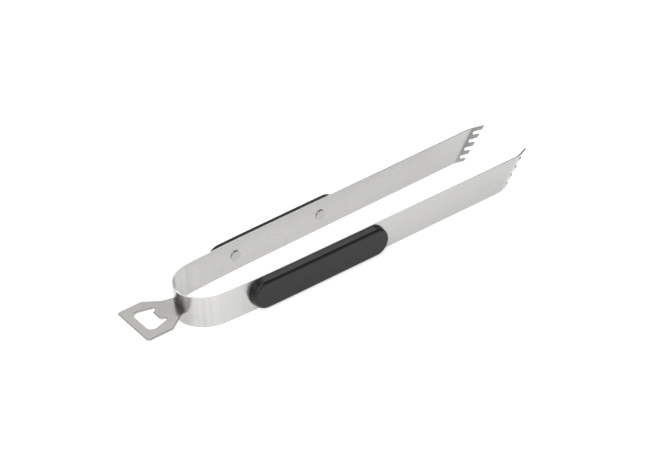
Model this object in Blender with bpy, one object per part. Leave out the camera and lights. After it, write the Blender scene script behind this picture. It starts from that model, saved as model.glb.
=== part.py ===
"""Spring loaded kitchen tongs: a bent steel strip with toothed tips, two moulded grips and a bottle opener.

Every shape is drawn flat in millimetres, the way the blank is punched, and then folded and bent into place.
Flat coordinates are (s, out, z): s runs along the strip from the middle of the back, out is the distance
outside the strip's mid-surface and z is the height above the strip's middle. The +Y side is the left one.
"""

import math

import bmesh
import bpy
from mathutils import Matrix, Vector

# Placing in the frame: +X runs to the tips, and the strip stands on Z = 0.
BACK_X = -151.2
MIDDLE_Z = 14.0
MM = 0.001

# The steel strip, as (length, turn in degrees) runs from the back of the bend to the tip.
STRIP_RUNS = ((8.4, 21.75), (27.25, 56.65), (7.4, 8.8), (12.0, 0.1), (50.0, 1.75), (60.0, 0.2), (300.0, 0.0))
STRIP_HEIGHT = 28.0
STRIP_THICKNESS = 1.2
SEAM_S = 19.1
SEAM_GAP = 0.3
STATION_STEP = 1.75

# The toothed tips: a slanted fold line and the flap beyond it.
FOLD_S = 334.5
FOLD_SLANT = math.radians(37.0)
FOLD_ANGLE = math.radians(26.0)
FOLD_RADIUS = 11.0
FLAP_TOP = 14.2
FLAP_BOTTOM = 11.1
FLAP_LIFT = 0.3
TOOTH_SLOT_WIDTH = 3.0
TOOTH_SLOTS = ((-9.7, 4.6), (-3.45, 5.1), (2.85, 5.4), (9.15, 5.6))

# The moulded grips.
GRIP_START = 62.1
GRIP_END = 196.5
GRIP_HEIGHT = 27.0
GRIP_BACK = 0.9
GRIP_FRONT = 7.8
GRIP_DRAFT = 0.9
GRIP_ROUND = 2.4
GRIP_WALL = 1.7
BOSS_RADIUS = 5.6
RIB_THICKNESS = 1.2
RIB_SPACING = 21.9

# The fasteners.
RIVET_S = (86.6, 174.3)
RIVET_NAMES = ("rear", "front")
RIVET_HEAD_RADIUS = 4.6
RIVET_HEAD_HEIGHT = 0.95
RIVET_RADIUS = 2.0
BUSH_RADIUS = 3.5
CLEARANCE = 0.3

# The bottle opener, in plan: X from the back of the bend, and the half width.
OPENER_TOP = 1.7
OPENER_THICKNESS = 1.85
OPENER_OUTLINE = ((-42.0, 22.9, 2.4), (-19.6, 22.9, 2.0), (-7.4, 13.3, 14.0), (1.95, 10.8, 0.0), (1.35, 8.0, 0.0))
OPENER_APERTURE = ((-34.5, 15.2, 5.0), (-16.2, 9.8, 1.8), (-16.2, 7.2, 1.2), (-20.0, 5.3, 0.8))
TAB_BACK = 2.55
TAB_BEND = 0.6
TAB_LENGTH = 10.2
SLOT_HALF_LENGTH = 11.9

ROUND_STEPS = 24


def clear_scene():
    for item in list(bpy.data.objects):
        bpy.data.objects.remove(item, do_unlink=True)


def collection(name, is_cutters):
    made = bpy.data.collections.new(name)
    bpy.context.scene.collection.children.link(made)
    made.hide_render = is_cutters
    return made


def material(name, colour, metallic, roughness):
    made = bpy.data.materials.new(name)
    made.use_nodes = True
    shader = made.node_tree.nodes["Principled BSDF"]
    shader.inputs["Base Color"].default_value = (*colour, 1.0)
    shader.inputs["Metallic"].default_value = metallic
    shader.inputs["Roughness"].default_value = roughness
    made.diffuse_color = (*colour, 1.0)
    return made


def strip_point(s, out=0.0):
    """Where a point of the strip lies in plan, in millimetres from the back of the bend."""
    x = y = angle = 0.0
    left = abs(s)
    for length, turn in STRIP_RUNS:
        step = min(left, length)
        turned = math.radians(turn) * step / length
        chord = step * (math.sin(turned / 2) / (turned / 2) if turned else 1.0)
        x += chord * math.sin(angle + turned / 2)
        y += chord * math.cos(angle + turned / 2)
        angle += turned
        left -= step
    x -= out * math.cos(angle)
    y += out * math.sin(angle)
    return Vector((x, math.copysign(y, s)))


def strip_heading(s):
    """How far the strip has turned at s, in radians."""
    angle = 0.0
    left = abs(s)
    for length, turn in STRIP_RUNS:
        step = min(left, length)
        angle += math.radians(turn) * step / length
        left -= step
    return angle


def bent(point):
    """Flat (s, out, z) to (x, y, z) beside the back of the bend."""
    s, out, z = point
    plan = strip_point(s, out)
    return Vector((plan.x, plan.y, z))


def folded(point):
    """The flap beyond the slanted fold line, turned inwards round the bend radius. Still in flat coordinates."""
    s, out, z = point
    cos_slant, sin_slant = math.cos(FOLD_SLANT), math.sin(FOLD_SLANT)
    across = (s - FOLD_S) * cos_slant - z * sin_slant + FOLD_RADIUS * FOLD_ANGLE / 2
    along = (s - FOLD_S) * sin_slant + z * cos_slant
    if across <= 0:
        return Vector(point)
    turn = min(across / FOLD_RADIUS, FOLD_ANGLE)
    beyond = across - turn * FOLD_RADIUS
    new_across = (FOLD_RADIUS + out) * math.sin(turn) + beyond * math.cos(turn) - FOLD_RADIUS * FOLD_ANGLE / 2
    new_out = (FOLD_RADIUS + out) * math.cos(turn) - FOLD_RADIUS - beyond * math.sin(turn)
    new_s = FOLD_S + new_across * cos_slant + along * sin_slant
    return Vector((new_s, new_out, along * cos_slant - new_across * sin_slant))


def rounded(corners, steps=6):
    """A closed outline through (x, y, radius) corners, each corner an arc of its radius."""
    outline = []
    for index, (x, y, radius) in enumerate(corners):
        corner = Vector((x, y))
        if radius == 0:
            outline.append(corner)
            continue
        before = (Vector(corners[index - 1][:2]) - corner).normalized()
        after = (Vector(corners[(index + 1) % len(corners)][:2]) - corner).normalized()
        half = before.angle(after) / 2
        spoke = (before + after).normalized()
        side = (after - before).normalized()
        middle = corner + spoke * radius / math.sin(half)
        for step in range(steps + 1):
            swing = (math.pi / 2 - half) * (2 * step / steps - 1)
            outline.append(middle + (side * math.sin(swing) - spoke * math.cos(swing)) * radius)
    return outline


def mirrored_outline(half):
    """A closed outline from its half on the +Y side."""
    return rounded([*half, *[(x, -y, radius) for x, y, radius in reversed(half)]])


def plate(outlines, low, high):
    """A bmesh plate: the first outline filled, the others left open, from z = low to z = high."""
    mesh = bmesh.new()
    edges = []
    for outline in outlines:
        ring = [mesh.verts.new((point[0], point[1], low)) for point in outline]
        edges += [mesh.edges.new(pair) for pair in zip(ring, ring[1:] + ring[:1])]
    bmesh.ops.triangle_fill(mesh, use_beauty=True, edges=edges)
    grown = bmesh.ops.extrude_face_region(mesh, geom=mesh.faces[:])
    moved = [item for item in grown["geom"] if isinstance(item, bmesh.types.BMVert)]
    bmesh.ops.translate(mesh, verts=moved, vec=(0, 0, high - low))
    return mesh


def loft(rings, cap):
    """A closed solid through equal rings of points, with both end rings capped by cap(count)."""
    mesh = bmesh.new()
    made = [[mesh.verts.new(point) for point in ring] for ring in rings]
    count = len(made[0])
    for below, above in zip(made, made[1:]):
        for i in range(count):
            j = (i + 1) % count
            mesh.faces.new((below[i], below[j], above[j], above[i]))
    for ring in (made[0], made[-1]):
        for face in cap(count):
            mesh.faces.new([ring[i] for i in face])
    return mesh


def strip_cap(count):
    """Faces across a ring that is its own mirror image, from point 0 to the opposite point."""
    last = count // 2
    faces = [(0, 1, count - 1)]
    faces += [(i, i + 1, count - i - 1, count - i) for i in range(1, last - 1)]
    return [*faces, (last - 1, last, last + 1)]


def turned(profile, steps=ROUND_STEPS):
    """A solid of revolution about Z through (radius, z) points that start and end on the axis or on one ring."""
    mesh = bmesh.new()
    rings = []
    for radius, z in profile:
        if radius == 0:
            rings.append([mesh.verts.new((0, 0, z))])
            continue
        angles = [2 * math.pi * i / steps for i in range(steps)]
        rings.append([mesh.verts.new((radius * math.cos(a), radius * math.sin(a), z)) for a in angles])
    pairs = list(zip(rings, rings[1:]))
    if profile[0][0] and profile[-1][0]:
        pairs.append((rings[-1], rings[0]))
    for first, second in pairs:
        for i in range(steps):
            j = (i + 1) % steps
            corners = [ring[k % len(ring)] for ring, k in ((first, i), (first, j), (second, j), (second, i))]
            mesh.faces.new(list(dict.fromkeys(corners)))
    return mesh


def new_object(mesh, name, into):
    """The bmesh as an object, closed and facing out."""
    bmesh.ops.remove_doubles(mesh, verts=mesh.verts[:], dist=0.0005)
    bmesh.ops.recalc_face_normals(mesh, faces=mesh.faces[:])
    data = bpy.data.meshes.new(name)
    mesh.to_mesh(data)
    mesh.free()
    made = bpy.data.objects.new(name, data)
    into.objects.link(made)
    return made


def cylinder(name, radius, s, low, high, steps=ROUND_STEPS):
    """A cutter or a boss: its axis runs outwards from the strip at s. In flat coordinates."""
    mesh = turned(((0, low), (radius, low), (radius, high), (0, high)), steps)
    bmesh.ops.transform(mesh, matrix=flat_turn(s), verts=mesh.verts[:])
    return new_object(mesh, name, cutters)


def flat_turn(s):
    """Takes a shape standing on its Z axis to one that stands outwards from the strip at s."""
    return Matrix.Translation((s, 0, 0)) @ Matrix.Rotation(math.radians(-90), 4, "X")


def block(name, low, high):
    mesh = bmesh.new()
    bmesh.ops.create_cube(mesh, size=1.0)
    size = Vector(high) - Vector(low)
    bmesh.ops.scale(mesh, vec=size, verts=mesh.verts[:])
    bmesh.ops.translate(mesh, vec=(Vector(high) + Vector(low)) / 2, verts=mesh.verts[:])
    return new_object(mesh, name, cutters)


def combined(base, steps):
    """The mesh of the base after each (operation, object) Boolean."""
    for operation, other in steps:
        modifier = base.modifiers.new(operation.title(), "BOOLEAN")
        modifier.operation = operation
        modifier.solver = "EXACT"
        modifier.object = other
        other.display_type = "WIRE"
        other.hide_render = True
    graph = bpy.context.evaluated_depsgraph_get()
    result = bmesh.new()
    result.from_mesh(base.evaluated_get(graph).to_mesh())
    base.modifiers.clear()
    base.hide_render = True
    return result


def cut_at(mesh, planes):
    """New edges along each (point, normal) plane, so that the mesh can bend there."""
    for point, normal in planes:
        everything = mesh.verts[:] + mesh.edges[:] + mesh.faces[:]
        bmesh.ops.bisect_plane(mesh, geom=everything, plane_co=point, plane_no=normal, dist=0.0002)


def moved_by(mesh, change):
    for vert in mesh.verts:
        vert.co = change(vert.co)
    return mesh


def finished(mesh, name, look, origin=(0.0, 0.0)):
    """A named piece in metres, with its origin at the plan point that is given."""
    made = new_object(mesh, name, pieces)
    place = Vector((origin[0] + BACK_X, origin[1], MIDDLE_Z))
    shift = Matrix.Translation((BACK_X, 0, MIDDLE_Z))
    made.data.transform(Matrix.Scale(MM, 4) @ Matrix.Translation(-place) @ shift)
    made.location = place * MM
    made.data.materials.append(look)
    made.data.shade_smooth()
    made.data.set_sharp_from_angle(angle=math.radians(30))
    return made


def right_hand(mesh, name, look, origin):
    """The same piece on the -Y side."""
    bmesh.ops.scale(mesh, vec=(1, -1, 1), verts=mesh.verts[:])
    bmesh.ops.reverse_faces(mesh, faces=mesh.faces[:])
    return finished(mesh, name, look, (origin[0], -origin[1]))


def both_hands(mesh, name, look):
    """The piece on the left arm, and its mirror image on the right one. Each turns about its hinge line."""
    finished(mesh.copy(), f"left_{name}", look, hinge)
    right_hand(mesh, f"right_{name}", look, hinge)


def stations(start, end, step):
    count = max(1, math.ceil((end - start) / step))
    return [start + (end - start) * i / count for i in range(1, count)]


def across_strip(positions):
    return [((s, 0, 0), (1, 0, 0)) for s in positions]


def strip_blank(outlines):
    """A flat piece of the strip, drawn as (s, z) outlines, in flat coordinates."""
    mesh = plate(outlines, -STRIP_THICKNESS / 2, STRIP_THICKNESS / 2)
    return moved_by(mesh, lambda point: Vector((point.x, point.z, point.y)))


def make_spring_bend():
    half = SEAM_S - SEAM_GAP / 2
    edge = STRIP_HEIGHT / 2
    blank = [(-half, -edge), (half, -edge), (half, edge), (-half, edge)]
    middle = OPENER_TOP - OPENER_THICKNESS / 2
    high = OPENER_THICKNESS / 2 + CLEARANCE + 0.05
    turns = ((1, 1), (1, -1), (-1, -1), (-1, 1))
    ends = [(side * SLOT_HALF_LENGTH, middle + up * high, high * 0.9) for side, up in turns]
    mesh = strip_blank((blank, rounded(ends, 4)))
    cut_at(mesh, across_strip(stations(-half, half, STATION_STEP)))
    finished(moved_by(mesh, bent), "spring_bend", steel)


def arm_outline():
    """The left arm's blank: the strip's edges, and the teeth from the bottom of the flap to its top."""
    edge = STRIP_HEIGHT / 2
    start = SEAM_S + SEAM_GAP / 2
    lean = math.tan(FOLD_SLANT)

    def fold_at(z):
        return FOLD_S + z * lean

    def flap_end(z):
        share = (z + edge) / STRIP_HEIGHT
        return fold_at(z) + FLAP_BOTTOM + (FLAP_TOP - FLAP_BOTTOM) * share

    outline = [(start, -edge), (fold_at(-edge) - 7.0, -edge), (fold_at(-edge) + 0.4, FLAP_LIFT - edge)]
    outline.append((flap_end(-edge), FLAP_LIFT - edge))
    radius = TOOTH_SLOT_WIDTH / 2
    for z, depth in TOOTH_SLOTS:
        outline.append((flap_end(z - radius), z - radius))
        centre = fold_at(z) + depth + radius
        for step in range(9):
            angle = math.pi * (-0.5 - step / 8)
            outline.append((centre + radius * math.cos(angle), z + radius * math.sin(angle)))
        outline.append((flap_end(z + radius), z + radius))
    return [*outline, (flap_end(edge), edge), (start, edge)]


def circle(s, z, radius):
    angles = [2 * math.pi * i / ROUND_STEPS for i in range(ROUND_STEPS)]
    return [(s + radius * math.cos(a), z + radius * math.sin(a)) for a in angles]


def make_arms():
    holes = [circle(s, 0, RIVET_RADIUS + CLEARANCE) for s in RIVET_S]
    mesh = strip_blank((arm_outline(), *holes))
    bend_end = sum(length for length, turn in STRIP_RUNS[:3])
    cuts = across_strip([*stations(SEAM_S, bend_end, STATION_STEP), bend_end, *stations(bend_end, 170, 12.0)])
    normal = Vector((math.cos(FOLD_SLANT), 0, -math.sin(FOLD_SLANT)))
    for step in range(4):
        away = FOLD_RADIUS * FOLD_ANGLE * (step / 3 - 0.5)
        cuts.append((Vector((FOLD_S, 0, 0)) + normal * away, normal))
    cut_at(mesh, cuts)
    both_hands(moved_by(moved_by(mesh, folded), bent), "arm", steel)


def grip_ring(inset, out):
    """One level of the grip's outline, a rectangle with round ends, from its rear point round to it again."""
    radius = GRIP_HEIGHT / 2 - inset
    rear = GRIP_START + GRIP_HEIGHT / 2
    front = GRIP_END - GRIP_HEIGHT / 2
    upper = [math.radians(180 - 90 * i / 9) for i in range(10)]
    ring = [(rear + radius * math.cos(a), out, radius * math.sin(a)) for a in upper]
    ring += [(s, out, radius) for s in stations(rear, front, 15.0)]
    ring += [(front - radius * math.cos(a), out, radius * math.sin(a)) for a in reversed(upper)]
    return ring + [(s, out, -z) for s, _, z in reversed(ring[1:-1])]


def make_grips():
    flank_end = GRIP_FRONT - GRIP_ROUND
    levels = [(0.0, GRIP_BACK), (GRIP_DRAFT, flank_end)]
    for step in range(1, 6):
        angle = math.radians(18 * step)
        levels.append((GRIP_DRAFT + GRIP_ROUND * (1 - math.cos(angle)), flank_end + GRIP_ROUND * math.sin(angle)))
    shell = new_object(loft([grip_ring(*level) for level in levels], strip_cap), "grip_shell", cutters)
    wall = GRIP_WALL
    inside = [(wall, 0.0), (wall + GRIP_DRAFT, flank_end), (wall + GRIP_DRAFT + 1.3, GRIP_FRONT - wall)]
    hollow = new_object(loft([grip_ring(*level) for level in inside], strip_cap), "grip_hollow", cutters)
    top = GRIP_FRONT - GRIP_WALL + 1.0
    keep = [("DIFFERENCE", cylinder(f"boss_{i}", BOSS_RADIUS, s, -2.0, top)) for i, s in enumerate(RIVET_S)]
    first = GRIP_START + GRIP_HEIGHT / 2 + 0.3
    for i in range(6):
        s = first + RIB_SPACING * i
        if min(abs(s - rivet) for rivet in RIVET_S) < BOSS_RADIUS + 2:
            continue
        low = (s - RIB_THICKNESS / 2, 2.4, -GRIP_HEIGHT)
        keep.append(("DIFFERENCE", block(f"rib_{i}", low, (s + RIB_THICKNESS / 2, top, GRIP_HEIGHT))))
    spine = block("rib_spine", (GRIP_START, 2.9, -RIB_THICKNESS / 2 + 0.07), (GRIP_END, top, RIB_THICKNESS / 2 + 0.07))
    keep.append(("DIFFERENCE", spine))
    room = new_object(combined(hollow, keep), "grip_room", cutters)
    steps = [("DIFFERENCE", room)]
    for i, s in enumerate(RIVET_S):
        steps.append(("DIFFERENCE", cylinder(f"bore_{i}", BUSH_RADIUS + 0.2, s, -3.0, GRIP_FRONT - GRIP_WALL + 0.1)))
    mesh = combined(shell, steps)
    cut_at(mesh, across_strip(stations(GRIP_START, 172, 12.3)))
    both_hands(moved_by(mesh, bent), "grip", black)


def make_fasteners():
    seat = -STRIP_THICKNESS / 2 - 0.15
    top = GRIP_FRONT - GRIP_WALL - 0.2
    dome = [(0.0, seat - RIVET_HEAD_HEIGHT), (1.7, seat - 0.9), (3.1, seat - 0.72), (4.1, seat - 0.45)]
    head = [*dome, (RIVET_HEAD_RADIUS, seat - 0.15), (RIVET_HEAD_RADIUS, seat)]
    rivet = [*head, (RIVET_RADIUS, seat), (RIVET_RADIUS, top - 0.5), (RIVET_RADIUS - 0.4, top - 0.1), (0.0, top - 0.1)]
    inner = RIVET_RADIUS + CLEARANCE
    bush = [(inner, 1.0), (BUSH_RADIUS, 1.0), (BUSH_RADIUS, top), (inner, top)]
    for name, s in zip(RIVET_NAMES, RIVET_S):
        for profile, kind, look in ((rivet, "rivet", bright), (bush, "bush", brass)):
            mesh = turned(profile)
            bmesh.ops.transform(mesh, matrix=flat_turn(s), verts=mesh.verts[:])
            both_hands(moved_by(mesh, bent_rigid(s)), f"{name}_{kind}", look)


def bent_rigid(at):
    """As bent, but for a rigid piece that stands on the strip at one place."""
    plan = strip_point(at)
    turn = Matrix.Rotation(strip_heading(at) - math.pi / 2, 3, "Z").inverted()

    def change(point):
        return turn @ Vector((point.x - at, point.y, point.z)) + Vector((plan.x, plan.y, 0))

    return change


def make_opener():
    """The opener's blank, with its inner end folded up behind the bend."""
    low = OPENER_TOP - OPENER_THICKNESS
    start = TAB_BACK - TAB_BEND
    neck = (*OPENER_OUTLINE, (start + TAB_LENGTH, 8.0, 1.5))
    mesh = plate((mirrored_outline(neck), mirrored_outline(OPENER_APERTURE)), low, OPENER_TOP)
    inner, middle = TAB_BEND, TAB_BEND + OPENER_THICKNESS / 2
    length = middle * math.pi / 2
    cut_at(mesh, across_strip([start + length * step / 5 for step in range(6)]))

    def tab_folded(point):
        beyond = point.x - start
        if beyond <= 0:
            return point.copy()
        turn = min(beyond / middle, math.pi / 2)
        radius = inner + OPENER_TOP - point.z
        rest = beyond - turn * middle
        x = start + radius * math.sin(turn) + rest * math.cos(turn)
        return Vector((x, point.y, OPENER_TOP + inner - radius * math.cos(turn) + rest * math.sin(turn)))

    finished(moved_by(mesh, tab_folded), "bottle_opener", plated)


clear_scene()
pieces = collection("kitchen_tongs", False)
cutters = collection("cutters", True)
steel = material("steel_strip", (0.62, 0.62, 0.61), 1.0, 0.25)
plated = material("opener_steel", (0.56, 0.56, 0.55), 1.0, 0.3)
bright = material("rivet_steel", (0.7, 0.7, 0.7), 1.0, 0.2)
brass = material("bush_brass", (0.7, 0.55, 0.28), 1.0, 0.35)
black = material("grip_plastic", (0.03, 0.03, 0.03), 0.0, 0.5)
hinge = strip_point(SEAM_S)

make_spring_bend()
make_opener()
make_arms()
make_grips()
make_fasteners()
for cutter in cutters.objects:
    cutter.hide_render = True
    cutter.display_type = "WIRE"
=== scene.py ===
"""Spring loaded kitchen tongs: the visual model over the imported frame, with its materials and its studio.

Shapes are in millimetres until piece() turns them to metres, and lights and materials are in metres. The
strip and the grips are drawn flat, as (s, out, z), and then bent along the strip's plan: s runs along the
strip from the middle of its back, out is the distance outside its mid-surface and z is the height above its
middle. The +Y side is the left one, and the right one is its mirror image.
"""

import math

import bmesh
import bpy
from mathutils import Matrix, Vector


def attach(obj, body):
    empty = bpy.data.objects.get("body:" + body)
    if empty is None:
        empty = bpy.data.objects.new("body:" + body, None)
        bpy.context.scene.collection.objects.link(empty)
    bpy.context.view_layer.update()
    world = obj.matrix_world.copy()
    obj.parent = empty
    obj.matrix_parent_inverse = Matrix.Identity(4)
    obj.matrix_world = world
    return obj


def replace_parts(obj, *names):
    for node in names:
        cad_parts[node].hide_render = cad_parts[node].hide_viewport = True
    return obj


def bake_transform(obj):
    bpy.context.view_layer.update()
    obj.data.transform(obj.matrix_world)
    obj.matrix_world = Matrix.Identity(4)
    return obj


MM = 0.001

# How meshes are cut up: the angle below which faces count as flat, how near to a plane a point counts as on
# it, the length of a facet in the bend and along the slightly curved part of the blades, and the number of
# facets in the fold at the tips.
FLAT = math.radians(0.04)
ON_PLANE = 0.0002
BEND_FACET = 0.9
BLADE_FACET = 6.0
FOLD_FACETS = 6

# The edges that are rounded: those sharper than this, with this many facets.
SHARP_EDGE = math.radians(40)
EDGE_FACETS = 3

# The steel strip, as (length, turn in degrees) runs from the back of the bend to the tip. The first three are
# the bend, and the blade is straight from CURVE_END on. STRIP_EDGE is the most that its edges are rounded by.
STRIP_RUNS = ((8.4, 21.75), (27.25, 56.65), (7.4, 8.8), (12.0, 0.1), (50.0, 1.75), (60.0, 0.2), (300.0, 0.0))
BEND_END = sum(length for length, turn in STRIP_RUNS[:3])
CURVE_END = 180.0
STRIP_HEIGHT = 28.0
STRIP_THICKNESS = 1.2
STRIP_EDGE = 0.2

# The middle of the strip's back, at its mid-surface. It stands on its lower edge.
BACK_X = -151.2
MIDDLE_Z = STRIP_HEIGHT / 2

# The toothed tips. Each tooth slot is the height of its middle and how far beyond the fold its end is. The
# flap's lower edge rises by FLAP_LIFT between FLAP_RAMP before the fold and FLAP_RISEN after it.
FOLD_S = 334.5
FOLD_SLANT = math.radians(37.0)
FOLD_ANGLE = math.radians(26.0)
FOLD_RADIUS = 11.0
FLAP_TOP = 14.2
FLAP_BOTTOM = 11.1
FLAP_LIFT = 0.3
FLAP_RAMP = 7.0
FLAP_RISEN = 0.4
TOOTH_SLOT_WIDTH = 3.0
TOOTH_SLOTS = ((-9.7, 4.6), (-3.45, 5.1), (2.85, 5.4), (9.15, 5.6))
TOOTH_ROUND = 0.5

# The moulded grips. The foot and the crown are levels of (inset, height): the foot's from the back, and the
# crown's from the end of the rounding and from the front face.
GRIP_START = 62.1
GRIP_END = 196.5
GRIP_HEIGHT = 27.0
GRIP_BACK = 0.62
GRIP_FRONT = 7.8
GRIP_DRAFT = 0.9
GRIP_ROUND = 2.4
GRIP_ROUND_STEPS = 8
GRIP_FOOT = ((0.25, 0.0), (0.02, 0.22))
GRIP_CROWN = ((1.5, 0.012), (5.0, 0.02))
GRIP_QUARTER_STEPS = 16
GRIP_CREASE = math.radians(50)

# The rivet heads: where they are along the strip, and their (radius, height) profile from the top to the rim.
RIVET_S = {"rear": 86.6, "front": 174.3}
RIVET_PROFILE = (
    (0.0, 1.05), (1.2, 1.04), (2.4, 0.99), (3.3, 0.92), (3.9, 0.84),
    (4.25, 0.75), (4.45, 0.63), (4.56, 0.48), (4.6, 0.3), (4.6, 0.0),
)
RIVET_STEPS = 48
RIVET_CREASE = math.radians(60)

# The opener, as half outlines of (x, y, corner radius) beside the back of the bend, and its tab, which passes
# through a slot in the bend and is folded up behind it.
OPENER_TOP = 1.7
OPENER_THICKNESS = 1.85
OPENER_EDGE = 0.5
TAB_HALF_WIDTH = 8.0
TAB_BACK = 2.55
TAB_BEND = 0.6
TAB_START = TAB_BACK - TAB_BEND
TAB_MID_RADIUS = TAB_BEND + OPENER_THICKNESS / 2
TAB_LENGTH = 10.2
TAB_ROUND = 1.5
TAB_FACETS = 8
OPENER_OUTLINE = (
    (-42.0, 22.9, 2.4), (-19.6, 22.9, 2.0), (-7.4, 13.3, 14.0),
    (1.95, 10.8, 0.0), (1.35, TAB_HALF_WIDTH, 0.0),
)
OPENER_APERTURE = ((-34.5, 15.2, 5.0), (-16.2, 9.8, 1.8), (-16.2, 7.2, 1.2), (-20.0, 5.3, 0.8))
SLOT_HALF_LENGTH = 10.95
SLOT_HALF_HEIGHT = 1.07
SLOT_ROUND = 0.4

# The studio: each soft box as azimuth, elevation and distance, its size and its radiance. It is dark between
# them, which gives the steel its edges.
LIGHTS = {
    "back_box": ((67.0, 50.0, 1.0), (0.95, 0.62), 1.66),
    "left_box": ((208.0, 42.0, 1.2), (1.9, 1.0), 1.7),
    "top_box": ((215.0, 70.0, 1.4), (0.9, 0.9), 1.0),
}
WORLD_STRENGTH = 0.3
FLOOR_GLOW = 0.65
FLOOR_HALF_SIZE = 6.0
FLOOR_Z = -0.0002

# Nearly all of a noise texture's values lie in this range. The bend's painted reflection: lighter streaks
# painted into the steel's colour for the soft boxes, at their clearest up to one x and gone from the other.
NOISE_RANGE = (0.3, 0.7)
PAINTED_REFLECTION_CLEAR_X = -0.13
PAINTED_REFLECTION_GONE_X = -0.095

# The camera: which way it looks, in degrees, its lens, and its place from the back of the bend, to its right,
# up and back, in millimetres.
CAMERA_AZIMUTH = 35.308
CAMERA_DOWN = 34.118
CAMERA_ROLL = -3.789
CAMERA_LENS = 84.36
CAMERA_SENSOR = 36.0
CAMERA_OFFSET = (111.68, 57.25, 1172.96)


def strip_point(s, out=0.0):
    """A point of the strip in plan, from the back of the bend, and how far the strip has turned there."""
    x = y = angle = 0.0
    left = abs(s)
    for length, turn in STRIP_RUNS:
        step = min(left, length)
        turned = math.radians(turn) * step / length
        chord = step * (math.sin(turned / 2) / (turned / 2) if turned else 1.0)
        x += chord * math.sin(angle + turned / 2)
        y += chord * math.cos(angle + turned / 2)
        angle += turned
        left -= step
    return Vector((x - out * math.cos(angle), y + out * math.sin(angle))), angle


def bent(point):
    """Flat (s, out, z) to (x, y, z) beside the back of the bend."""
    plan, _ = strip_point(point[0], point[1])
    return Vector((plan.x, plan.y, point[2]))


def folded(point):
    """The flap beyond the slanted fold line, turned inwards round the fold radius, still in (s, out, z)."""
    s, out, z = point
    cos_slant, sin_slant = math.cos(FOLD_SLANT), math.sin(FOLD_SLANT)
    across = (s - FOLD_S) * cos_slant - z * sin_slant + FOLD_RADIUS * FOLD_ANGLE / 2
    along = (s - FOLD_S) * sin_slant + z * cos_slant
    if across <= 0:
        return Vector(point)
    turn = min(across / FOLD_RADIUS, FOLD_ANGLE)
    beyond = across - turn * FOLD_RADIUS
    new_across = (FOLD_RADIUS + out) * math.sin(turn) + beyond * math.cos(turn) - FOLD_RADIUS * FOLD_ANGLE / 2
    new_out = (FOLD_RADIUS + out) * math.cos(turn) - FOLD_RADIUS - beyond * math.sin(turn)
    new_s = FOLD_S + new_across * cos_slant + along * sin_slant
    return Vector((new_s, new_out, along * cos_slant - new_across * sin_slant))


def rounded(corners, steps=10):
    """A closed outline through (x, y, radius) corners, each corner an arc of its radius."""
    outline = []
    for index, (x, y, radius) in enumerate(corners):
        corner = Vector((x, y))
        if radius == 0:
            outline.append(corner)
            continue
        before = (Vector(corners[index - 1][:2]) - corner).normalized()
        after = (Vector(corners[(index + 1) % len(corners)][:2]) - corner).normalized()
        half = before.angle(after) / 2
        spoke = (before + after).normalized()
        side = (after - before).normalized()
        middle = corner + spoke * radius / math.sin(half)
        for step in range(steps + 1):
            swing = (math.pi / 2 - half) * (2 * step / steps - 1)
            outline.append(middle + (side * math.sin(swing) - spoke * math.cos(swing)) * radius)
    return outline


def mirrored_outline(half):
    """A closed outline from its half on the +Y side."""
    return rounded([*half, *[(x, -y, radius) for x, y, radius in reversed(half)]])


def flattened(mesh):
    """Joins the faces that lie flat beside each other, so that no slivers are left to hold the bevel back."""
    bmesh.ops.dissolve_limit(mesh, angle_limit=FLAT, verts=mesh.verts[:], edges=mesh.edges[:])


def plate(outlines, low, high):
    """A bmesh plate, the first outline filled and the others open. Its cut edges take material slot 1."""
    mesh = bmesh.new()
    edges = []
    for outline in outlines:
        ring = [mesh.verts.new((point[0], point[1], low)) for point in outline]
        edges += [mesh.edges.new(pair) for pair in zip(ring, ring[1:] + ring[:1])]
    bmesh.ops.triangle_fill(mesh, use_beauty=True, edges=edges)
    flattened(mesh)
    grown = bmesh.ops.extrude_face_region(mesh, geom=mesh.faces[:])
    moved = [item for item in grown["geom"] if isinstance(item, bmesh.types.BMVert)]
    bmesh.ops.translate(mesh, verts=moved, vec=(0, 0, high - low))
    mesh.normal_update()
    for face in mesh.faces:
        face.material_index = int(abs(face.normal.z) < 0.5)
    return mesh


def cut_at(mesh, planes):
    """New edges along each (point, normal) plane, so that the mesh can bend there."""
    for point, normal in planes:
        everything = mesh.verts[:] + mesh.edges[:] + mesh.faces[:]
        bmesh.ops.bisect_plane(mesh, geom=everything, plane_co=point, plane_no=normal, dist=ON_PLANE)


def moved_by(mesh, change):
    """Every point of the mesh goes where change sends it."""
    for vert in mesh.verts:
        vert.co = change(vert.co)


def stations(start, end, step):
    """Even places between start and end, at most step apart, without the two ends."""
    count = max(1, math.ceil((end - start) / step))
    return [start + (end - start) * i / count for i in range(1, count)]


def planes_across(positions):
    """The planes that cut a flat strip or plate straight across at each place along it."""
    return [((s, 0, 0), (1, 0, 0)) for s in positions]


def piece(mesh, name, looks, side=1, edge=0.0, rim=-1):
    """The bmesh as a piece in metres in the row frame, mirrored for side -1, its edges rounded by up to edge.
    The rounding takes material slot rim, or that of the faces beside it."""
    bmesh.ops.recalc_face_normals(mesh, faces=mesh.faces[:])
    bmesh.ops.transform(mesh, matrix=Matrix.Diagonal((1, side, 1, 1)), verts=mesh.verts[:])
    if side < 0:
        bmesh.ops.reverse_faces(mesh, faces=mesh.faces[:])
    bmesh.ops.translate(mesh, vec=(BACK_X, 0, MIDDLE_Z), verts=mesh.verts[:])
    bmesh.ops.scale(mesh, vec=(MM, MM, MM), verts=mesh.verts[:])
    data = bpy.data.meshes.new(name)
    mesh.to_mesh(data)
    mesh.free()
    data.shade_smooth()
    for look in looks:
        data.materials.append(look)
    made = bpy.data.objects.new(name, data)
    bpy.context.scene.collection.objects.link(made)
    if edge:
        round_edges(made, edge, rim)
    return made


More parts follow.
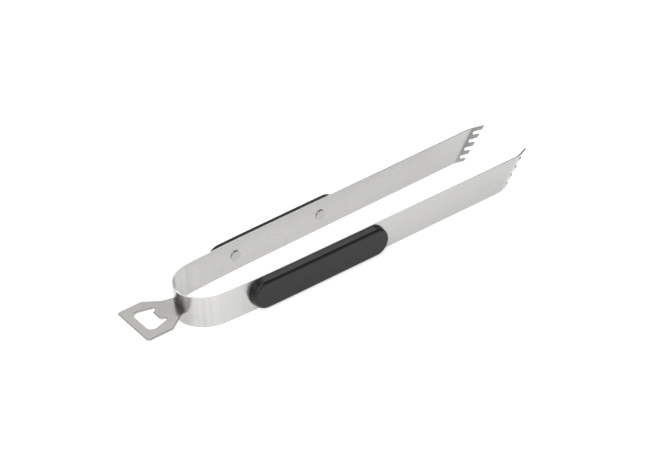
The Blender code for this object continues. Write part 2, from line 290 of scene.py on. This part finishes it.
def round_edges(made, edge, rim):
    """Bevels the sharp edges for good, by less than edge where the mesh's own short edges leave no room."""
    bevel = made.modifiers.new("edge", "BEVEL")
    bevel.width = edge * MM
    bevel.segments = EDGE_FACETS
    bevel.limit_method = "ANGLE"
    bevel.angle_limit = SHARP_EDGE
    bevel.material = rim
    weighted = made.modifiers.new("normals", "WEIGHTED_NORMAL")
    weighted.keep_sharp = False
    graph = bpy.context.evaluated_depsgraph_get()
    sharp = made.data
    final = bpy.data.meshes.new_from_object(made.evaluated_get(graph))
    made.modifiers.clear()
    made.data = final
    final.name = made.name
    bpy.data.meshes.remove(sharp)


def strip_outline():
    """Half of the strip's blank in (s, z), from the middle of its back to the teeth, with half its slot."""
    edge = STRIP_HEIGHT / 2
    lean = math.tan(FOLD_SLANT)

    def fold_at(z):
        return FOLD_S + z * lean

    def flap_end(z):
        return fold_at(z) + FLAP_BOTTOM + (FLAP_TOP - FLAP_BOTTOM) * (z + edge) / STRIP_HEIGHT

    low = FLAP_LIFT - edge
    corners = [(0, -edge, 0), (fold_at(-edge) - FLAP_RAMP, -edge, 0), (fold_at(-edge) + FLAP_RISEN, low, 0)]
    corners.append((flap_end(low), low, TOOTH_ROUND))
    radius = TOOTH_SLOT_WIDTH / 2
    # Two arcs of the full half width would meet in one point, so each is a hair smaller.
    arc = radius * 0.999
    for z, depth in TOOTH_SLOTS:
        end = fold_at(z) + depth
        corners.append((flap_end(z - radius), z - radius, TOOTH_ROUND))
        corners += [(end, z - radius, arc), (end, z + radius, arc)]
        corners.append((flap_end(z + radius), z + radius, TOOTH_ROUND))
    middle = OPENER_TOP - OPENER_THICKNESS / 2
    slot = [(0, middle + SLOT_HALF_HEIGHT, 0), (SLOT_HALF_LENGTH, middle + SLOT_HALF_HEIGHT, SLOT_ROUND)]
    slot += [(SLOT_HALF_LENGTH, middle - SLOT_HALF_HEIGHT, SLOT_ROUND), (0, middle - SLOT_HALF_HEIGHT, 0)]
    return rounded([*corners, (flap_end(edge), edge, TOOTH_ROUND), (0, edge, 0), *slot])


def fold_planes():
    """The slanted planes on which the tip's fold is faceted."""
    normal = Vector((math.cos(FOLD_SLANT), 0, -math.sin(FOLD_SLANT)))
    middle = Vector((FOLD_S, 0, 0))
    width = FOLD_RADIUS * FOLD_ANGLE
    return [(middle + normal * width * (step / FOLD_FACETS - 0.5), normal) for step in range(FOLD_FACETS + 1)]


def make_strip(side, name, looks):
    """Half of the strip, open where it meets the other half."""
    mesh = plate([strip_outline()], -STRIP_THICKNESS / 2, STRIP_THICKNESS / 2)
    moved_by(mesh, lambda point: Vector((point.x, point.z, point.y)))
    cuts = [*stations(0, BEND_END, BEND_FACET), BEND_END, *stations(BEND_END, CURVE_END, BLADE_FACET)]
    cut_at(mesh, planes_across(cuts) + fold_planes())
    joint = [face for face in mesh.faces if all(abs(vert.co.x) < ON_PLANE for vert in face.verts)]
    bmesh.ops.delete(mesh, geom=joint, context="FACES")
    moved_by(mesh, folded)
    moved_by(mesh, bent)
    flattened(mesh)
    made = piece(mesh, name, looks, side, STRIP_EDGE, 1)
    flex_start, _ = strip_point(SLOT_HALF_LENGTH)
    flex_end, _ = strip_point(BEND_END)
    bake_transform(made)
    return made


def grip_ring(inset, out):
    """One level of the grip's outline, a rectangle with round ends, from its rear point round to it again."""
    radius = GRIP_HEIGHT / 2 - inset
    rear = GRIP_START + GRIP_HEIGHT / 2
    front = GRIP_END - GRIP_HEIGHT / 2
    upper = [math.radians(180 - 90 * i / GRIP_QUARTER_STEPS) for i in range(GRIP_QUARTER_STEPS + 1)]
    ring = [(rear + radius * math.cos(a), out, radius * math.sin(a)) for a in upper]
    ring += [(s, out, radius) for s in stations(rear, front, BLADE_FACET)]
    ring += [(front - radius * math.cos(a), out, radius * math.sin(a)) for a in reversed(upper)]
    return ring + [(s, out, -z) for s, _, z in reversed(ring[1:-1])]


def grip_levels():
    """The grip's outside from its back to its face, as (inset, out): the foot, draft, rounding and crown."""
    flank_end = GRIP_FRONT - GRIP_ROUND
    levels = [(inset, GRIP_BACK + height) for inset, height in GRIP_FOOT]
    levels.append((GRIP_DRAFT / 2, (GRIP_BACK + flank_end) / 2))
    for step in range(GRIP_ROUND_STEPS + 1):
        angle = math.pi / 2 * step / GRIP_ROUND_STEPS
        inset = GRIP_DRAFT + GRIP_ROUND * (1 - math.cos(angle))
        levels.append((inset, flank_end + GRIP_ROUND * math.sin(angle)))
    levels += [(GRIP_DRAFT + GRIP_ROUND + inset, GRIP_FRONT + height) for inset, height in GRIP_CROWN]
    return levels


def make_grip(side, name, body, looks):
    """The outside of the moulding, closed at the back, where the arm hides its ribs."""
    mesh = bmesh.new()
    rings = [[mesh.verts.new(bent(point)) for point in grip_ring(*level)] for level in grip_levels()]
    count = len(rings[0])
    for below, above in zip(rings, rings[1:]):
        for i in range(count):
            j = (i + 1) % count
            mesh.faces.new((below[i], below[j], above[j], above[i]))
    # The back and the face are closed with faces across them, from the rear point to the front one.
    last = count // 2
    for ring in (rings[0], rings[-1]):
        mesh.faces.new((ring[0], ring[1], ring[-1]))
        for i in range(1, last - 1):
            mesh.faces.new((ring[i], ring[i + 1], ring[count - i - 1], ring[count - i]))
        mesh.faces.new((ring[last - 1], ring[last], ring[last + 1]))
    made = piece(mesh, name, looks, side)
    made.data.set_sharp_from_angle(angle=GRIP_CREASE)
    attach(made, body)
    return made


def make_rivet(side, name, body, s, looks):
    """A crowned round head on the inside of the arm."""
    mesh = bmesh.new()
    plan, heading = strip_point(s)
    place = Matrix.Translation((plan.x, plan.y, 0)) @ Matrix.Rotation(math.pi / 2 - heading, 4, "Z")
    place = place @ Matrix.Translation((0, -STRIP_THICKNESS / 2, 0)) @ Matrix.Rotation(math.pi / 2, 4, "X")
    rings = []
    for radius, height in RIVET_PROFILE:
        angles = [2 * math.pi * i / RIVET_STEPS for i in range(RIVET_STEPS)] if radius else [0.0]
        ring = [Vector((radius * math.cos(a), radius * math.sin(a), height)) for a in angles]
        rings.append([mesh.verts.new(place @ point) for point in ring])
    for first, second in zip(rings, rings[1:]):
        for i in range(RIVET_STEPS):
            j = (i + 1) % RIVET_STEPS
            # At the top, where the first ring is a single point, the faces are triangles.
            corners = (first[i % len(first)], first[j % len(first)], second[j], second[i])
            mesh.faces.new(list(dict.fromkeys(corners)))
    mesh.faces.new(rings[-1])
    made = piece(mesh, name, looks, side)
    made.data.set_sharp_from_angle(angle=RIVET_CREASE)
    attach(made, body)
    return made


def tab_folded(point):
    """The end of the opener's neck, folded up behind the strip."""
    beyond = point.x - TAB_START
    if beyond <= 0:
        return point.copy()
    turn = min(beyond / TAB_MID_RADIUS, math.pi / 2)
    radius = TAB_BEND + OPENER_TOP - point.z
    rest = beyond - turn * TAB_MID_RADIUS
    x = TAB_START + radius * math.sin(turn) + rest * math.cos(turn)
    return Vector((x, point.y, OPENER_TOP + TAB_BEND - radius * math.cos(turn) + rest * math.sin(turn)))


def make_opener(looks):
    """The pressed plate with its aperture, its neck and its tab."""
    half = (*OPENER_OUTLINE, (TAB_START + TAB_LENGTH, TAB_HALF_WIDTH, TAB_ROUND))
    outlines = (mirrored_outline(half), mirrored_outline(OPENER_APERTURE))
    mesh = plate(outlines, OPENER_TOP - OPENER_THICKNESS, OPENER_TOP)
    length = TAB_MID_RADIUS * math.pi / 2
    cut_at(mesh, planes_across([TAB_START + length * step / TAB_FACETS for step in range(TAB_FACETS + 1)]))
    moved_by(mesh, tab_folded)
    flattened(mesh)
    made = piece(mesh, "opener_plate", looks, 1, OPENER_EDGE, 0)
    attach(made, "back")
    return made


def node(tree, kind, **inputs):
    """A new shader node with its inputs set. An underscore stands for a space in an input's name."""
    made = tree.nodes.new(kind)
    for key, value in inputs.items():
        made.inputs[key.replace("_", " ")].default_value = value
    return made


def new_material(name, colour, metallic, roughness, **values):
    """A material with a plain colour and roughness, for where its textures aren't shown."""
    made = bpy.data.materials.new(name)
    made.use_nodes = True
    shader = made.node_tree.nodes["Principled BSDF"]
    shader.inputs["Base Color"].default_value = (*colour, 1.0)
    shader.inputs["Metallic"].default_value = metallic
    shader.inputs["Roughness"].default_value = roughness
    for key, value in values.items():
        shader.inputs[key.replace("_", " ")].default_value = value
    made.diffuse_color = (*colour, 1.0)
    return made, made.node_tree, shader


def noise(tree, scale, detail=2.0, rough=0.5):
    """A noise texture over object coordinates in metres, scaled along each axis."""
    place = tree.nodes.new("ShaderNodeTexCoord")
    mapping = tree.nodes.new("ShaderNodeMapping")
    mapping.inputs["Scale"].default_value = scale
    texture = node(tree, "ShaderNodeTexNoise", Scale=1.0, Detail=detail, Roughness=rough)
    tree.links.new(place.outputs["Object"], mapping.inputs["Vector"])
    tree.links.new(mapping.outputs["Vector"], texture.inputs["Vector"])
    return texture.outputs["Fac"]


def along_x(tree):
    """The object's own x coordinate in metres."""
    place = tree.nodes.new("ShaderNodeTexCoord")
    split = tree.nodes.new("ShaderNodeSeparateXYZ")
    tree.links.new(place.outputs["Object"], split.inputs["Vector"])
    return split.outputs["X"]


def ranged(tree, value, low, high, out_low, out_high):
    """The value's range low to high, stretched to out_low to out_high and held there."""
    made = tree.nodes.new("ShaderNodeMapRange")
    for index, number in enumerate((low, high, out_low, out_high)):
        made.inputs[index + 1].default_value = number
    tree.links.new(value, made.inputs[0])
    return made.outputs[0]


def spread(tree, value, out_low, out_high):
    """A noise texture's range, stretched to out_low to out_high."""
    return ranged(tree, value, *NOISE_RANGE, out_low, out_high)


def combined(tree, operation, first, second):
    """Two values added or multiplied."""
    made = tree.nodes.new("ShaderNodeMath")
    made.operation = operation
    tree.links.new(first, made.inputs[0])
    tree.links.new(second, made.inputs[1])
    return made.outputs[0]


def tinted(tree, value, shader, dark, light):
    """The base colour runs from dark to light with the value."""
    ramp = tree.nodes.new("ShaderNodeValToRGB")
    ramp.color_ramp.elements[0].color = (*dark, 1)
    ramp.color_ramp.elements[1].color = (*light, 1)
    tree.links.new(value, ramp.inputs["Fac"])
    tree.links.new(ramp.outputs["Color"], shader.inputs["Base Color"])


def roughened(tree, value, shader, low, high):
    """The roughness runs from low to high with the value."""
    tree.links.new(spread(tree, value, low, high), shader.inputs["Roughness"])


def bumped(tree, value, shader, depth, strength):
    """The surface is raised by up to depth metres with the value."""
    bump = node(tree, "ShaderNodeBump", Strength=strength, Distance=depth)
    tree.links.new(value, bump.inputs["Height"])
    tree.links.new(bump.outputs["Normal"], shader.inputs["Normal"])


def brushed_steel():
    """Rolled strip with a fine satin along its length: the lines run at one height, round the bend as well.
    Lighter streaks painted across the bend are painted reflections of the soft boxes, and lighten it."""
    made, tree, shader = new_material(
        "brushed_strip", (0.505, 0.5, 0.49), 1.0, 0.28, Anisotropic=0.75, Anisotropic_Rotation=0.25
    )
    lines = noise(tree, (9.0, 9.0, 2400.0), 3.0, 0.6)
    patches = noise(tree, (14.0, 14.0, 40.0))
    # Painted reflection: lighter streaks on the bend stand in for the soft boxes' reflections and lighten it.
    painted_reflection_bands = ranged(tree, noise(tree, (170.0, 170.0, 3.0), 3.0), 0.35, 0.6, 0.0, 0.65)
    # This mask along x keeps the painted reflection to the bend.
    bend = ranged(tree, along_x(tree), PAINTED_REFLECTION_CLEAR_X, PAINTED_REFLECTION_GONE_X, 1.0, 0.0)
    fine = spread(tree, lines, 0.0, 0.35)
    grain_and_painted_reflection = combined(tree, "ADD", fine, combined(tree, "MULTIPLY", painted_reflection_bands, bend))
    tinted(tree, grain_and_painted_reflection, shader, (0.49, 0.485, 0.475), (0.576, 0.571, 0.561))
    roughness = combined(tree, "ADD", spread(tree, lines, 0.25, 0.29), spread(tree, patches, 0.0, 0.03))
    tree.links.new(roughness, shader.inputs["Roughness"])
    bumped(tree, lines, shader, 0.00001, 0.06)
    return made


def cut_steel(name, dark, light):
    """The cut edges of a sheet, with fine lines from the press."""
    made, tree, shader = new_material(name, light, 1.0, 0.2)
    lines = noise(tree, (1400.0, 1400.0, 500.0))
    tinted(tree, lines, shader, dark, light)
    roughened(tree, lines, shader, 0.15, 0.25)
    bumped(tree, lines, shader, 0.00002, 0.2)
    return made


def satin_steel():
    """The opener: thicker plate, tumbled to a fine even satin."""
    made, tree, shader = new_material("tumbled_plate", (0.28, 0.272, 0.262), 1.0, 0.22)
    grain = noise(tree, (1800.0, 1800.0, 1800.0), 2.0, 0.6)
    clouds = spread(tree, noise(tree, (40.0, 40.0, 40.0)), 0.0, 1.0)
    tinted(tree, clouds, shader, (0.258, 0.251, 0.241), (0.281, 0.274, 0.263))
    roughened(tree, grain, shader, 0.19, 0.25)
    bumped(tree, grain, shader, 0.00001, 0.12)
    return made


def rivet_steel():
    """Bright pressed steel with a slight grain."""
    made, tree, shader = new_material("rivet_head", (0.41, 0.405, 0.395), 1.0, 0.17)
    grain = noise(tree, (900.0, 900.0, 900.0))
    tinted(tree, grain, shader, (0.39, 0.385, 0.375), (0.43, 0.425, 0.415))
    roughened(tree, grain, shader, 0.14, 0.2)
    bumped(tree, grain, shader, 0.00001, 0.1)
    return made


def moulded_plastic():
    """Black nylon with a fine spark texture from the mould."""
    made, tree, shader = new_material("moulded_black", (0.012, 0.012, 0.012), 0.0, 0.3, IOR=1.41)
    grain = noise(tree, (2200.0, 2200.0, 2200.0), 2.0, 0.6)
    clouds = noise(tree, (60.0, 60.0, 60.0))
    tinted(tree, grain, shader, (0.005, 0.005, 0.005), (0.0095, 0.0094, 0.0092))
    roughened(tree, clouds, shader, 0.27, 0.35)
    bumped(tree, grain, shader, 0.00003, 0.25)
    return made


def turned_brass():
    """Brass with the lathe's fine rings round the bush's axis."""
    made, tree, shader = new_material("turned_brass", (0.68, 0.5, 0.22), 1.0, 0.3)
    lines = noise(tree, (60.0, 3000.0, 60.0))
    tinted(tree, lines, shader, (0.62, 0.45, 0.19), (0.72, 0.55, 0.26))
    roughened(tree, lines, shader, 0.22, 0.4)
    return made


def pale_floor():
    """A pale floor that glows a little, as a lit sweep does, so that shadows stay faint."""
    made, tree, shader = new_material("pale_floor", (0.8, 0.8, 0.8), 0.0, 0.8)
    tinted(tree, noise(tree, (3.0, 3.0, 3.0)), shader, (0.79, 0.79, 0.79), (0.81, 0.81, 0.81))
    shader.inputs["Emission Color"].default_value = (1.0, 1.0, 1.0, 1.0)
    shader.inputs["Emission Strength"].default_value = FLOOR_GLOW
    return made


def soft_box(name, place, size, radiance):
    """An area light that faces the middle of the scene. Its watts follow from its radiance and its area."""
    azimuth, elevation, distance = math.radians(place[0]), math.radians(place[1]), place[2]
    level = math.cos(elevation)
    away = Vector((level * math.cos(azimuth), level * math.sin(azimuth), math.sin(elevation)))
    data = bpy.data.lights.new(name, "AREA")
    data.shape = "RECTANGLE"
    data.size, data.size_y = size
    data.energy = math.pi * radiance * size[0] * size[1]
    made = bpy.data.objects.new(name, data)
    made.location = away * distance
    made.rotation_euler = (-away).to_track_quat("-Z", "Y").to_euler()
    bpy.context.scene.collection.objects.link(made)


def make_camera():
    """Looks down over the opener towards the tips, slightly rolled, from about 1.2 m."""
    azimuth, down, roll = (math.radians(angle) for angle in (CAMERA_AZIMUTH, CAMERA_DOWN, CAMERA_ROLL))
    level = math.cos(down)
    right = Vector((math.cos(azimuth), -math.sin(azimuth), 0))
    forward = Vector((math.sin(azimuth) * level, math.cos(azimuth) * level, -math.sin(down)))
    up = right.cross(forward)
    across = right * math.cos(roll) + up * math.sin(roll)
    upright = up * math.cos(roll) - right * math.sin(roll)
    data = bpy.data.cameras.new("camera")
    data.sensor_width = CAMERA_SENSOR
    data.lens = CAMERA_LENS
    data.clip_start, data.clip_end = 0.05, 30.0
    made = bpy.data.objects.new("camera", data)
    to_right, to_top, to_back = CAMERA_OFFSET
    back = Vector((BACK_X, 0, MIDDLE_Z))
    place = (back + across * to_right + upright * to_top - forward * to_back) * MM
    turn = Matrix((across, upright, -forward)).transposed()
    made.matrix_world = Matrix.Translation(place) @ turn.to_4x4()
    bpy.context.scene.collection.objects.link(made)
    bpy.context.scene.camera = made


def make_floor():
    """One flat sheet just under the tongs, part of the stage and not of the object."""
    mesh = bmesh.new()
    bmesh.ops.create_grid(mesh, x_segments=1, y_segments=1, size=FLOOR_HALF_SIZE)
    data = bpy.data.meshes.new("floor")
    mesh.to_mesh(data)
    mesh.free()
    data.materials.append(pale_floor())
    floor = bpy.data.objects.new("floor", data)
    bpy.context.scene.collection.objects.link(floor)
    floor.location.z = FLOOR_Z


def make_studio():
    """The dim white world and the soft boxes."""
    world = bpy.data.worlds.new("studio")
    world.use_nodes = True
    background = world.node_tree.nodes["Background"]
    background.inputs["Color"].default_value = (1.0, 1.0, 1.0, 1.0)
    background.inputs["Strength"].default_value = WORLD_STRENGTH
    bpy.context.scene.world = world
    for name, facts in LIGHTS.items():
        soft_box(name, *facts)
    bpy.context.scene.view_settings.view_transform = "Standard"


def make_side(nodes, side, hand, materials):
    """Half of the strip with its grip and rivet heads. The CAD's own bushes are kept and get their brass."""
    body = f"{hand}_side"
    strip = make_strip(side, f"{hand}_strip", materials["strip"])
    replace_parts(strip, f"{hand}_arm", "spring_bend")
    grip = make_grip(side, f"{hand}_handle", body, materials["grip"])
    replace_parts(grip, f"{hand}_grip")
    for end, s in RIVET_S.items():
        rivet = make_rivet(side, f"{hand}_{end}_rivet_head", body, s, materials["rivet"])
        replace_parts(rivet, f"{hand}_{end}_rivet")
        bush = nodes[f"{hand}_{end}_bush"]
        bush.data.materials.clear()
        bush.data.materials.append(materials["bush"])


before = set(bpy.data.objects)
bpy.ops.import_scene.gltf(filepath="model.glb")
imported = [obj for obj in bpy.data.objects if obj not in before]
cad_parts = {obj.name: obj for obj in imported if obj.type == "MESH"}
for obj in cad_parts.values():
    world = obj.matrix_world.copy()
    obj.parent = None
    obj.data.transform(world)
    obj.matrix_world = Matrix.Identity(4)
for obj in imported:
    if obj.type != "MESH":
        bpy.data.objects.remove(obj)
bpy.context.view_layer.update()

steel = brushed_steel()
sheared = cut_steel("sheared_edge", (0.4, 0.395, 0.385), (0.46, 0.455, 0.445))
ground = cut_steel("ground_edge", (0.48, 0.475, 0.465), (0.54, 0.535, 0.525))
materials = {
    "strip": (steel, sheared),
    "grip": (moulded_plastic(),),
    "rivet": (rivet_steel(),),
    "bush": turned_brass(),
}
for side, hand in ((1, "left"), (-1, "right")):
    make_side(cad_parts, side, hand, materials)
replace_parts(make_opener((satin_steel(), ground)), "bottle_opener")

make_camera()
make_floor()
make_studio()
